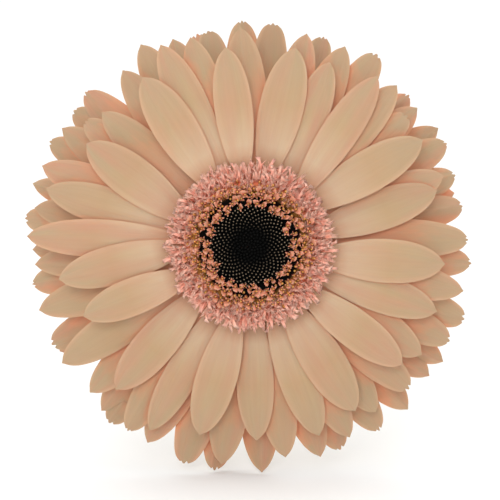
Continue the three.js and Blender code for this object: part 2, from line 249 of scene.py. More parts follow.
def petal_skin(colours):
    """Ray floret: thin, velvety petal tissue. Light passes a little way through it, and the warm
    orange where petals overlap is painted glow, mixed in by how closely other petals cover each
    spot; its veins run lengthways as faint streaks."""
    material, tree, shader = new_material(
        "petal_tissue",
        Roughness=0.62,
        IOR=1.4,
        Specular_IOR_Level=0.3,
        Subsurface_Weight=0.4,
        Subsurface_Radius=(1.0, 0.6, 0.4),
        Subsurface_Scale=0.6 * MM,
        Sheen_Weight=0.12,
        Sheen_Roughness=0.5,
    )
    along, across, tint, shelter = (
        add(tree, "ShaderNodeAttribute", output="Fac", attribute_name=key)
        for key in ("along", "across", "tint", "shelter")
    )
    # Along and across the petal. The tint shifts the noise, so that no two petals are alike.
    strip = add(tree, "ShaderNodeCombineXYZ", {"X": across, "Y": along, "Z": tint})
    noises = []
    for scale, detail in (((1.4, 2.2, 60), 1.0), ((11, 2.5, 40), 3.0)):
        stretched = add(tree, "ShaderNodeMapping", {"Vector": strip, "Scale": scale})
        inputs = {"Vector": stretched, "Scale": 1.0, "Detail": detail}
        noises.append(add(tree, "ShaderNodeTexNoise", inputs))
    clouds, veins = noises  # the veins are about 0.4 mm apart on a petal 10 mm wide
    edge = add(tree, "ShaderNodeMath", {0: across}, operation="ABSOLUTE")
    shares = []
    for value, low, high, most in (
        (clouds, 0.35, 0.72, 1.0),
        (edge, 0.7, 1.0, 0.45),
        (shelter, 0.2, 0.8, 0.85),
    ):
        inputs = {"Value": value, "From Min": low, "From Max": high, "To Max": most}
        shares.append(add(tree, "ShaderNodeMapRange", inputs))
    # Some petals blush more than others.
    strength = add(tree, "ShaderNodeMath", {0: tint, 1: 0.6, 2: 0.15}, operation="MULTIPLY_ADD")
    shares[0] = add(tree, "ShaderNodeMath", {0: shares[0], 1: strength}, operation="MULTIPLY")
    stops = [
        # The foot: partly its own pink-orange, partly painted glow under the crest and the petals
        # over it.
        (0.1, colours["claw"]),
        # Near the crest: painted lighter, to lift the shade cast there by the crest and the petals
        # over it.
        (0.34, colours["lower"]),
        (0.62, colours["middle"]),
        (1.0, colours["tip"]),
    ]
    body = add(tree, "ShaderNodeValToRGB", {"Fac": along}, stops=stops)
    # The pinker blush, the pale rim, and a painted orange glow where petals lie close over it, in
    # place of light let through the petals above.
    for share, name in zip(shares, ("blush", "rim", "painted_glow")):
        inputs = {"Factor": share, "A": body, "B": (*colours[name], 1)}
        body = add(tree, "ShaderNodeMix", inputs, data_type="RGBA")
    stops = [(0.3, (0.975, 0.965, 0.955)), (0.7, (1.01, 1.01, 1.01))]
    streaks = add(tree, "ShaderNodeValToRGB", {"Fac": veins}, stops=stops)
    inputs = {"Factor": 1.0, "A": body, "B": streaks}
    body = add(tree, "ShaderNodeMix", inputs, data_type="RGBA", blend_type="MULTIPLY")
    tree.links.new(body, shader.inputs["Base Color"])
    inputs = {"Height": veins, "Distance": 0.03 * MM, "Strength": 0.5}
    tree.links.new(add(tree, "ShaderNodeBump", inputs), shader.inputs["Normal"])
    return material


# ---- closed shells ----
def shell(top, bottom):
    """Corners and faces of a closed skin between two grids of points with the same rims."""
    rows, columns = top.shape[:2]
    corners = np.concatenate((top.reshape(-1, 3), bottom.reshape(-1, 3)))
    number = np.arange(rows * columns).reshape(rows, columns)
    a, b = number[:-1, :-1].ravel(), number[1:, :-1].ravel()
    c, d = number[1:, 1:].ravel(), number[:-1, 1:].ravel()
    under = rows * columns
    faces = [np.stack((a, b, c, d), 1), np.stack((d, c, b, a), 1) + under]
    rim = np.concatenate((number[0, :-1], number[:-1, -1], number[-1, :0:-1], number[:0:-1, 0]))
    ahead = np.roll(rim, -1)
    faces.append(np.stack((rim, ahead, ahead + under, rim + under), 1))
    return corners, np.concatenate(faces)


def mesh_of(name, shells):
    """One mesh from shells of (corners, faces, attributes), turned to face outwards."""
    corners = np.concatenate([s[0] for s in shells])
    faces, start = [], 0
    for points, quads, _ in shells:
        faces.extend((np.asarray(quads) + start).tolist())
        start += len(points)
    mesh = bpy.data.meshes.new(name)
    mesh.from_pydata(corners.tolist(), [], faces)
    work = bmesh.new()
    work.from_mesh(mesh)
    bmesh.ops.recalc_face_normals(work, faces=work.faces)
    work.to_mesh(mesh)
    work.free()
    for key in shells[0][2]:
        layer = mesh.attributes.new(key, "FLOAT", "POINT")
        layer.data.foreach_set("value", np.concatenate([s[2][key] for s in shells]))
    mesh.shade_smooth()
    return mesh


def stand(name, data):
    """Puts data in the scene as a new object."""
    thing = bpy.data.objects.new(name, data)
    bpy.context.scene.collection.objects.link(thing)
    return thing


def place(name, mesh, material, slot, *nodes):
    """Puts a head-frame mesh in the scene as a finished piece that stands for CAD nodes."""
    mesh.transform(HEAD)
    return finish(name, mesh, material, slot, *nodes)


def finish(name, mesh, material, slot, *nodes):
    """Puts a mesh that is already in the frame in the scene as a finished piece."""
    mesh.materials.clear()
    mesh.materials.append(material)
    piece = stand(name, mesh)
    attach(piece, "root")
    if nodes:
        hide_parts(*nodes)
    return piece


def strap(length, width, curl, rows, columns, thickness, tip=0.25, teeth=0.0, twist=0.0):
    """A narrow blade that stands on the origin along z and curls over towards +x.

    Curl is the whole angle it turns through. Teeth notch its tip, as a share of its length."""
    s = np.linspace(0, 1, rows)[:, None]
    t = np.linspace(-1, 1, columns)[None, :]
    half = width / 2 * (tip + (1 - tip) * np.sin(math.pi * (0.12 + 0.88 * s) ** 1.3) ** 0.6)
    bend = curl * s**1.5
    step = length / (rows - 1)
    x = np.concatenate(([0], np.cumsum(np.sin(bend[:-1, 0]) * step)))[:, None]
    z = np.concatenate(([0], np.cumsum(np.cos(bend[:-1, 0]) * step)))[:, None]
    notch = teeth * length * (np.abs(t) < 0.6) * (np.abs(t) > 0.1) * s**6
    cup = 0.25 * half * t**2
    turn = twist * s
    across = t * half
    grid = np.stack(
        (
            x + np.sin(turn) * across - (cup + notch * np.sin(bend)),
            np.cos(turn) * across + 0 * x,
            z - notch * np.cos(bend) + 0 * across,
        ),
        2,
    )
    out = np.stack((np.cos(bend) + 0 * t, 0 * bend + 0 * t, -np.sin(bend) + 0 * t), 2)
    lift = thickness / 2 * (1 - 0.6 * t[..., None] ** 2)
    corners, faces = shell(grid + out * lift, grid - out * lift)
    along = np.tile(np.repeat(s[:, 0], columns), 2)
    return corners, faces, {"along": along}


def capped(rings):
    """Corners and faces of a closed skin over rings of points, from the bottom up.

    Each end closes on a pole at its middle, with quads folded onto it as pairs of sides."""
    sides = len(rings[0])
    k = np.arange(len(rings) - 1)[:, None] * sides
    i = np.arange(sides)[None, :]
    j = (i + 1) % sides
    quads = np.stack((k + i, k + j, k + sides + j, k + sides + i), 2).reshape(-1, 4)
    low = len(rings) * sides
    high, last = low + 1, low - sides
    caps = []
    for a in range(0, sides, 2):
        b, c = (a + 1) % sides, (a + 2) % sides
        caps.extend(([low, c, b, a], [high, last + a, last + b, last + c]))
    poles = [rings[0].mean(0), rings[-1].mean(0)]
    return np.concatenate((*rings, poles)), np.concatenate((quads, caps))


def tube(profile, sides):
    """A closed solid of revolution about z from (radius, height, along) rows."""
    turn = np.arange(sides) / sides * 2 * math.pi
    rings = [
        np.stack((radius * np.cos(turn), radius * np.sin(turn), 0 * turn + height), 1)
        for radius, height, _ in profile
    ]
    corners, faces = capped(rings)
    along = [share for _, _, share in profile]
    along = np.concatenate((np.repeat(along, sides), [along[0], along[-1]]))
    return corners, faces, {"along": along}


def moved(part, matrix):
    """A copy of a closed skin, moved and turned."""
    corners, faces, extra = part
    m = np.array(matrix)
    return corners @ m[:3, :3].T + m[:3, 3], faces, extra


# ---- what repeats: florets on a spiral, bracts in a row ----
def new_tree(name, kinds, numbers):
    """A node tree from geometry to geometry, with inputs of these kinds and these numbers."""
    tree = bpy.data.node_groups.new(name, "GeometryNodeTree")
    face = tree.interface
    face.new_socket("Geometry", in_out="OUTPUT", socket_type="NodeSocketGeometry")
    inputs = {"Geometry": "Geometry", "Material": "Material", "Seed": "Int", **kinds}
    inputs.update(dict.fromkeys(numbers, "Float"))
    for key, kind in inputs.items():
        face.new_socket(key, in_out="INPUT", socket_type="NodeSocket" + kind)
    return tree, add(tree, "NodeGroupInput").node.outputs


def end_tree(tree, instances, material):
    """Makes the instances real and gives them the material."""
    real = add(tree, "GeometryNodeRealizeInstances", {"Geometry": instances})
    done = add(tree, "GeometryNodeSetMaterial", {"Geometry": real, "Material": material})
    add(tree, "NodeGroupOutput", {"Geometry": done})


def arrangement_tree():
    """Stands copies of the florets in a collection round the head's axis, from the inside out.

    What has an inner and an outer value runs from one to the other, and each jitter is the most
    that chance adds or takes away."""
    ranges = ("radius", "height", "lean", "size")
    chances = (*ranges, "turn", "spin")
    numbers = [f"{end} {key}" for key in ranges for end in ("Inner", "Outer")]
    numbers += [f"{key.capitalize()} jitter" for key in chances]
    kinds = {"Florets": "Collection", "Count": "Int"}
    tree, given = new_tree("floret_arrangement", kinds, [*numbers, "Turn", "Crowding"])
    index = add(tree, "GeometryNodeInputIndex")
    share = add(tree, "ShaderNodeMath", {0: index, 1: given["Count"]}, operation="DIVIDE")
    reach = add(tree, "ShaderNodeMath", {0: share, 1: given["Crowding"]}, operation="POWER")
    middle = {}
    for key in ranges:
        inputs = {"Value": reach, "To Min": given["Inner " + key], "To Max": given["Outer " + key]}
        middle[key] = add(tree, "ShaderNodeMapRange", inputs)
    turned = add(tree, "ShaderNodeMath", {0: index, 1: given["Turn"]}, operation="MULTIPLY")
    # Chance adds to each of these, and multiplies the size, on a stream of random numbers each.
    value = {**middle, "size": 1.0, "turn": turned, "spin": 0.0}
    for stream, key in enumerate((*chances, "tint"), 1):
        seed = add(tree, "ShaderNodeMath", {0: given["Seed"], 1: stream}, operation="ADD")
        low = 0.0 if key == "tint" else -1.0
        chance = add(tree, "FunctionNodeRandomValue", {2: low, 3: 1.0, "Seed": seed})
        if key == "tint":
            value[key] = chance  # a number from 0 to 1, for the skin
            continue
        inputs = {0: chance, 1: given[f"{key.capitalize()} jitter"], 2: value[key]}
        value[key] = add(tree, "ShaderNodeMath", inputs, operation="MULTIPLY_ADD")
    inputs = {0: middle["size"], 1: value["size"]}
    size = add(tree, "ShaderNodeMath", inputs, operation="MULTIPLY")

    inputs = {"Collection": given["Florets"], "Separate Children": True, "Reset Children": True}
    florets = add(tree, "GeometryNodeCollectionInfo", inputs)
    points = add(tree, "GeometryNodePoints", {"Count": given["Count"]})
    inputs = {"Points": points, "Instance": florets, "Pick Instance": True, "Scale": size}
    stood = add(tree, "GeometryNodeInstanceOnPoints", inputs)
    # Each floret spins where it stands, leans out, moves out, and turns about the head's axis.
    for axis, key in (("Z", "spin"), ("Y", "lean"), (None, "radius"), ("Z", "turn")):
        parts = {axis: value[key]} if axis else {"X": value["radius"], "Z": value["height"]}
        vector = add(tree, "ShaderNodeCombineXYZ", parts)
        kind, name = ("Rotate", "Rotation") if axis else ("Translate", "Translation")
        inputs = {"Instances": stood, name: vector, "Local Space": False}
        stood = add(tree, f"GeometryNode{kind}Instances", inputs)
    for name, stored in (("tint", value["tint"]), ("spread", reach)):
        inputs = {"Geometry": stood, "Name": name, "Value": stored}
        stood = add(tree, "GeometryNodeStoreNamedAttribute", inputs, domain="INSTANCE")
    end_tree(tree, stood, given["Material"])
    return tree


def hair_tree():
    """Scatters short hairs over a surface above the clearance, each standing near its normal."""
    numbers = ("Density", "Length", "Thickness", "Tilt", "Clearance")
    tree, given = new_tree("hairs", {}, numbers)
    where = add(tree, "GeometryNodeInputPosition")
    height = add(tree, "ShaderNodeSeparateXYZ", {0: where}, output="Z")
    clear = add(tree, "FunctionNodeCompare", {0: height, 1: given["Clearance"]})
    inputs = {
        "Mesh": given["Geometry"],
        "Selection": clear,
        "Density": given["Density"],
        "Seed": given["Seed"],
    }
    points = add(tree, "GeometryNodeDistributePointsOnFaces", inputs).node.outputs
    half = add(tree, "ShaderNodeMath", {0: given["Thickness"], 1: 0.5}, operation="MULTIPLY")
    inputs = {"Vertices": 3, "Radius Bottom": half, "Radius Top": 0.0, "Depth": given["Length"]}
    hair = add(tree, "GeometryNodeMeshCone", inputs)
    size = add(tree, "FunctionNodeRandomValue", {2: 0.5, 3: 1.2, "Seed": given["Seed"]})
    inputs = {
        "Points": points["Points"],
        "Instance": hair,
        "Rotation": points["Rotation"],
        "Scale": size,
    }
    stood = add(tree, "GeometryNodeInstanceOnPoints", inputs)
    back = add(tree, "ShaderNodeMath", {0: given["Tilt"], 1: -1.0}, operation="MULTIPLY")
    low = add(tree, "ShaderNodeCombineXYZ", {axis: back for axis in "XYZ"})
    high = add(tree, "ShaderNodeCombineXYZ", {axis: given["Tilt"] for axis in "XYZ"})
    inputs = {0: low, 1: high, "Seed": given["Seed"]}
    lean = add(tree, "FunctionNodeRandomValue", inputs, data_type="FLOAT_VECTOR")
    leant = add(tree, "GeometryNodeRotateInstances", {"Instances": stood, "Rotation": lean})
    end_tree(tree, leant, given["Material"])
    return tree


def grown(name, tree, base, **inputs):
    """Runs a tree on a base mesh and returns the plain mesh that it makes."""
    holder = stand(name, base)
    modifier = holder.modifiers.new(name, "NODES")
    modifier.node_group = tree
    for item in tree.interface.items_tree:
        key = item.name.replace(" ", "_").lower()
        if item.in_out == "INPUT" and key in inputs:
            modifier[item.identifier] = inputs[key]
    bpy.context.view_layer.update()
    evaluated = holder.evaluated_get(bpy.context.evaluated_depsgraph_get())
    mesh = bpy.data.meshes.new_from_object(evaluated)
    bpy.data.objects.remove(holder)
    mesh.shade_smooth()
    return mesh


def arranged(name, florets, material, count, seed, crowding=0.5, **ranges):
    """A mesh of florets set round the head's axis. Florets is a list of lists of shells.

    Turn is the step from one to the next and its jitter, and spin is a jitter alone. Radius,
    height, lean and size are each the inside value, the outside value and the jitter."""
    kinds = bpy.data.collections.new(name + "_kinds")
    for number, shells in enumerate(florets):
        kind = f"{name}_kind_{number}"
        kinds.objects.link(bpy.data.objects.new(kind, mesh_of(kind, shells)))
    inputs = {"florets": kinds, "material": material, "count": count, "seed": seed}
    turn, turn_jitter = ranges.pop("turn", (GOLDEN_TURN, 0.0))
    inputs.update({"turn": turn, "turn_jitter": turn_jitter, "crowding": crowding})
    inputs["spin_jitter"] = ranges.pop("spin", 0.0)
    for key, (inner, outer, jitter) in {"size": (1.0, 1.0, 0.0), **ranges}.items():
        inputs.update({f"inner_{key}": inner, f"outer_{key}": outer, f"{key}_jitter": jitter})
    tree = bpy.data.node_groups.get("floret_arrangement") or arrangement_tree()
    mesh = grown(name, tree, bpy.data.meshes.new(name), **inputs)
    for one in list(kinds.objects):
        bpy.data.objects.remove(one)
    bpy.data.collections.remove(kinds)
    return mesh


def downy(name, piece, look, slot, **inputs):
    """Grows down over a finished piece, as a piece of its own.

    Down: fine white hairs that let light through. Pale and matt, in soft blotches, they blur the
    outline of what they stand on."""
    skin = bpy.data.materials.get("plant_down")
    if not skin:
        skin = mottled("plant_down", 4, look.pith_colour, linear("#F0EFE2"), Roughness=0.8)
    tree = bpy.data.node_groups.get("hairs") or hair_tree()
    hairs = grown(name + "_hairs", tree, piece.data.copy(), material=skin, **inputs)
    finish(name + "_down", hairs, skin, slot)


# ---- settings ----
def length(name, value, description):
    return FloatProperty(
        name=name, default=value, description=description, unit="LENGTH", precision=5
    )


def colour(name, value, description):
    return FloatVectorProperty(
        name=name, default=linear(value), description=description, subtype="COLOR", min=0, max=1
    )


class RaySettings(bpy.types.PropertyGroup):
    thickness: length("Thickness", 0.36 * MM, "Of a petal along its midline")
    edge: length("Edge", 0.09 * MM, "Thickness of a petal at its rim")
    claw: length("Claw", 1.4 * MM, "Width of a petal's narrow foot")
    camber: length("Camber", 0.45 * MM, "How far a petal's edges droop")
    groove: length("Groove", 0.1 * MM, "Depth of the two long grooves")
    tooth: length("Teeth", 0.9 * MM, "Depth of the notches at a toothed tip")
    fold: length("Fold", 1.4 * MM, "Drop of the edges of a petal with a keel")
    tip_bend: length("Tip bend", 1.2 * MM, "Most that a tip bends up or down")
    sway: length("Sway", 0.35 * MM, "Most that a petal bends sideways")
    seed: IntProperty(name="Seed", default=7, description="Chooses the petals' small differences")
    # Partly the petal foot's own pink-orange, partly painted glow where the foot lies under the
    # crest and the petals over it.
    claw_colour: colour("Claw", "#BC8363", "Pink-orange foot of a petal")
    # Painted light: near the crest a petal is painted lighter, to lift the shade that the crest and
    # the petals over it cast there.
    lower_colour: colour("Lower", "#C0A588", "Near the crest")
    middle_colour: colour("Middle", "#B29572", "Apricot middle of a petal")
    tip_colour: colour("Tip", "#AA9476", "Paler tip")
    blush_colour: colour("Blush", "#BA8A70", "Pinker patches")
    rim_colour: colour("Rim", "#C6A286", "Pale margin")
    # Painted glow: strong orange painted where other petals lie close over a petal, in place of the
    # light let through them.
    painted_glow_colour: colour("Sheltered", "#D68E6A", "Strong orange where petals overlap")


class CrestSettings(bpy.types.PropertyGroup):
    count: IntProperty(name="Florets", default=1150, min=1, description="Short rays in the crest")
    floret: length("Floret", 4.9 * MM, "Length of a crest floret's strap")
    width: length("Strap width", 0.68 * MM, "Of a crest floret's strap")
    seed: IntProperty(name="Seed", default=3, description="Chooses how the florets lean")
    # Painted shade: the deeper, warmer pink down between the crest florets.
    deep_colour: colour("Deep", "#EA8864", "Down in the crest")
    middle_colour: colour("Middle", "#F4AE94", "Pink of the straps")
    # Partly the straps' own pale tips, partly painted light let through them.
    tip_colour: colour("Tip", "#F0C4AE", "Pale tips of the straps")
    tint_colour: colour("Tint", "#F1A190", "Rosier florets")


class DiscSettings(bpy.types.PropertyGroup):
    open_count: IntProperty(name="Open florets", default=155, min=1, description="Round the disc")
    anther_count: IntProperty(name="Anthers", default=210, min=1, description="Outside them")
    bud_count: IntProperty(name="Closed florets", default=450, min=1, description="Dark buds")
    bud: length("Bud", 0.84 * MM, "Width of a closed floret")
    seed: IntProperty(name="Seed", default=11, description="Chooses how the florets lean")
    tube_colour: colour("Tube", "#1A0D09", "Dark foot of an open floret")
    lobe_colour: colour("Lobes", "#B2694B", "Curled lobes of an open floret")
    lobe_tip_colour: colour("Lobe tips", "#D49276", "Pale ends of the lobes")
    anther_colour: colour("Anthers", "#B47838", "Ochre anther columns")
    pollen_colour: colour("Pollen", "#D6A050", "Their tips")
    bud_colour: colour("Buds", "#060605", "Near-black closed florets")
    bud_tip_colour: colour("Bud tips", "#8E7C66", "Pale point of each closed floret")


class GreenSettings(bpy.types.PropertyGroup):
    bracts: IntProperty(name="Bracts", default=19, min=3, description="In each row")
    bract_width: length("Bract width", 3.4 * MM, "At its widest")
    bract_thickness: length("Bract thickness", 0.5 * MM, "Along its midline")
    hair: length("Hair", 0.9 * MM, "Length of the hairs on stem and bracts")
    hair_width: length("Hair width", 0.07 * MM, "Coarser than the real hairs, so that they show")
    neck_flare: length("Neck flare", 12 * MM, "Length over which the stem widens to the head")
    bract_colour: colour("Bract", "#6E8A45", "Green of the bracts")
    bract_tip_colour: colour("Bract tip", "#5A4A2E", "Their browner points")
    stem_colour: colour("Stem", "#9DAF6B", "Yellow-green of the stem")
    foot_colour: colour("Stem foot", "#A98A6A", "Pinker lower stem")
    pith_colour: colour("Pith", "#D9DDB2", "Cut end of the stem")


class StageSettings(bpy.types.PropertyGroup):
    floor_size: length("Floor", 60.0, "Side of the floor")
    floor_colour: colour("Floor colour", "#F7F7F6", "Matte white surface")
    sky: FloatProperty(name="Sky", default=0.46, description="Brightness of the even white light")
    key: FloatProperty(name="Key", default=5.1, description="Power of the soft box", unit="POWER")
    overhead: FloatProperty(
        name="Overhead", default=2.3, description="Strength of the soft light above"
    )
    drop: length("Drop", 1.1 * MM, "How far below the head's middle the camera looks")
    lens: FloatProperty(
        name="Lens", default=135.0, description="Focal length, mm", subtype="DISTANCE_CAMERA"
    )
    share: FloatProperty(
        name="Share", default=0.921, description="Share of the frame's width that the head fills"
    )


# ---- operators ----
def settings(name):
    """The values that the panel shows for one group."""
    return getattr(bpy.context.scene, "gerbera_" + name)


def ray_shell(ray, look, rng, toothed, folded, blunt, warp):
    """The closed skin of one petal, on the midline, width and bowl of its CAD ray.

    Toothed and folded are chances, blunt is how square its outline ends, and warp how far it
    leaves the bowl. Here s runs from foot to tip, and t from rim to rim."""
    rows, columns = 36, 25
    widest = 0.6  # where along it a petal is widest
    groove_at = 0.36  # of the half width, for the two long grooves and the notches between teeth
    s = 1 - (1 - np.linspace(0, 1, rows)[:, None]) ** 1.6
    t = np.sin(np.linspace(-1, 1, columns) * math.pi / 2)[None, :]
    toothed = rng.random() < toothed
    folded = rng.random() < folded
    lower = (1 - ((widest - np.minimum(s, widest)) / widest) ** 2) ** 1.35
    upper = (1 - ((np.maximum(s, widest) - widest) / (1 - widest)) ** blunt) ** 0.74
    end = (rng.uniform(1.2, 1.9) if toothed else 0.35) * MM  # half its width at the tip
    half = np.where(
        s < widest,
        look.claw / 2 + (ray.half - look.claw / 2) * lower,
        end * s**4 + (ray.half - end * s**4) * upper,
    )
    near_tip = np.clip((s - 0.9) / 0.1, 0, 1) ** 2
    notch = 0.5 * MM * t**2  # the corners of the tip stand back
    if toothed:
        gap_width = 0.16
        second = rng.uniform(0.4, 1)
        second_at = rng.uniform(0.25, 0.45)
        gaps = np.exp(-(((t - groove_at) / gap_width) ** 2))
        gaps = gaps + second * np.exp(-(((t + second_at) / gap_width) ** 2))
        notch = look.tooth * rng.uniform(0.6, 1.1) * gaps + 0.9 * MM * t**2
    along = ray.length * s - notch * near_tip
    off = t * half + rng.uniform(-1, 1) * look.sway * np.sin(math.pi * s) * (1 - t**2)
    plan = ray.foot + ray.axis * along[..., None] + ray.side * off[..., None]
    height = np.polyval(ray.bowl, np.hypot(plan[..., 0], plan[..., 1]))
    share = half / ray.half
    bulk = np.clip(s / 0.3, 0, 1) * np.clip((1 - s) / 0.12, 0, 1)  # fades at foot and tip
    height -= look.camber * rng.uniform(0.6, 1.2) * t**2 * share**2
    height -= look.groove * np.exp(-(((np.abs(t) - groove_at) / 0.1) ** 2)) * bulk
    height -= 0.3 * look.groove * np.cos(7 * math.pi * t) * bulk
    if folded:
        crease = np.abs(t - rng.uniform(-0.3, 0.3)) * share * np.clip((s - 0.35) / 0.5, 0, 1)
        height -= look.fold * rng.uniform(0.6, 1.1) * max(warp, 1) * crease
    bend = look.tip_bend * rng.uniform(-1, 0.6) * max(warp, 1)
    height += bend * np.clip((s - 0.72) / 0.28, 0, 1) ** 2
    height += rng.uniform(-warp, warp) * MM * t * share * s
    height += 0.15 * MM * np.sin(9 * s + rng.uniform(0, 6.28)) * t**3 * share
    grid = np.concatenate((plan, height[..., None]), 2)
    low = (grid @ UP[:3] + UP[3]).min() - look.thickness
    if low < 0:  # a petal that would dip into the floor is a little shorter
        grid[..., :2] += ray.axis * s[..., None] * low / -(ray.axis @ UP[:2])
    lift = look.edge + (look.thickness - look.edge) * (1 - t**2) * np.minimum(share, 1)
    up = np.array((0, 0, 0.5)) * lift[..., None]
    corners, faces = shell(grid + up, grid - up)
    extra = {
        "along": np.tile((s + 0 * t).ravel(), 2),
        "across": np.tile((t + 0 * s).ravel(), 2),
        "tint": np.full(len(corners), rng.random()),
    }
    return corners, faces, extra


SHELTER_REACH = 14 * MM  # how near a petal has to lie to shelter another
SHELTER_START = 0.3 * MM  # above the skin, so that a petal doesn't meet itself


def shelter(shells):
    """Gives each corner the share of the rays leaving it up or sideways that soon meet a petal.
    This share sets how much painted orange glow the petal skin gets there.
    """
    corners, faces, start = [], [], 0
    for points, quads, _ in shells:
        corners.extend(points.tolist())
        faces.extend((quads + start).tolist())
        start += len(points)
    tree = BVHTree.FromPolygons(corners, faces)
    rays = []  # eight at 20 degrees up and eight at 50, turned against each other
    for rise in (20, 50):
        for turn in range(8):
            level = math.radians(rise)
            angle = math.radians(45 * turn + rise)
            out = Vector((math.cos(angle), math.sin(angle), 0)) * math.cos(level)
            rays.append(out + Vector((0, 0, math.sin(level))))
    for points, _, extra in shells:
        front = len(points) // 2
        met = np.zeros(front)
        for number, point in enumerate(points[:front].tolist()):
            start = Vector(point) + Vector((0, 0, SHELTER_START))
            hits = [tree.ray_cast(start, ray, SHELTER_REACH)[0] for ray in rays]
            met[number] = sum(hit is not None for hit in hits)
        extra["shelter"] = np.concatenate((met / len(rays), np.zeros(front)))


class GERBERA_OT_rays(bpy.types.Operator):
    """Make every long petal on the place of its CAD ray floret"""

    bl_idname = "gerbera.rays"
    bl_label = "Ray florets"

    def execute(self, context):
        look = settings("rays")
        colours = {
            name: getattr(look, name + "_colour")
            for name in ("claw", "lower", "middle", "tip", "blush", "rim", "painted_glow")
        }
        material = petal_skin(colours)
        # Chances of a toothed tip and of a keel, how blunt the outline is, and how far it warps.
        rows = {
            "front": (0.1, 0.05, 2.5, 0.35),
            "middle": (0.35, 0.3, 2.7, 0.6),
            "back": (0.6, 0.7, 3.0, 1.9),
        }
        pieces = {}
        for node in sorted(frame["nodes"]):
            row = node.split("_")[0]
            if "_ray_floret_" not in node:
                continue
            number = int(node.rsplit("_", 1)[1])
            rng = np.random.default_rng([look.seed, len(row), number])
            ray = Ray(in_head(node_points(node)))
            pieces[f"{row}_petal_{number:02d}"] = node, [ray_shell(ray, look, rng, *rows[row])]
        rng = np.random.default_rng(look.seed)
        joined = joined_rays("back_ray_florets")
        back = [ray_shell(ray, look, rng, *rows["back"]) for ray in joined]
        pieces["back_petals"] = "back_ray_florets", back
        shelter([part for _, parts in pieces.values() for part in parts])
        for name, (node, parts) in pieces.items():
            place(name, mesh_of(name, parts), material, "petal", node)
        return {"FINISHED"}


class GERBERA_OT_crest(bpy.types.Operator):
    """Make the crest of short pink florets"""

    bl_idname = "gerbera.crest"
    bl_label = "Crest"

    def execute(self, context):
        look = settings("crest")
        disc_edge = radii_and_heights("open_disc_florets")[0].max()
        outer = radii_and_heights("trans_florets")[0].max()
        rng = np.random.default_rng(look.seed)
        kinds = []
        for _ in range(7):
            reach = look.floret * rng.uniform(0.8, 1.1)
            parts = [
                strap(
                    reach,
                    width=look.width * rng.uniform(0.8, 1.15),
                    curl=rng.uniform(0.4, 2.1),
                    rows=5,
                    columns=5,
                    thickness=0.13 * MM,
                    tip=0.75,
                    teeth=rng.uniform(0.2, 0.42),
                    twist=rng.uniform(-1.3, 1.3),
                )
            ]
            for side in (-1, 1):
                lobe = strap(
                    reach * rng.uniform(0.35, 0.5),
                    width=look.width * 0.4,
                    curl=rng.uniform(1.0, 2.6),
                    rows=3,
                    columns=3,
                    thickness=0.12 * MM,
                    twist=rng.uniform(-0.8, 0.8),
                )
                turn = Matrix.Rotation(math.pi + side * rng.uniform(0.3, 1.2), 4, "Z")
                lobe[2]["along"] = 0.35 + 0.65 * lobe[2]["along"]
                parts.append(moved(lobe, Matrix.Translation((0, 0, reach * 0.4)) @ turn))
            kinds.append(parts)
        # Crest floret: a thin, velvety strap with no gloss and its own pink. Down between its
        # neighbours it is painted a deeper, warmer pink as painted shade, and its tip is paler,
        # partly its own colour and partly painted light let through the tip.
        material = tissue(
            "crest_floret_tissue",
            [(0.0, look.deep_colour), (0.5, look.middle_colour), (1.0, look.tip_colour)],
            tint=look.tint_colour,
            tint_share=0.5,
            grain_mm=0.3,
            grain_depth=0.03,
            Roughness=0.6,
        )
        mesh = arranged(
            "crest",
            kinds,
            material,
            look.count,
            look.seed,
            turn=(GOLDEN_TURN, 0.05),
            spin=math.radians(75),
            crowding=0.85,
            radius=(disc_edge - 0.2 * MM, outer - 3.2 * MM, 0.35 * MM),
            height=(0.3 * MM, 1.0 * MM, 0.35 * MM),
            lean=np.radians((2, 55, 17)).tolist(),
            size=(0.86, 0.98, 0.2),
        )
        place("crest_florets", mesh, material, "trans_floret", "trans_florets")
        return {"FINISHED"}


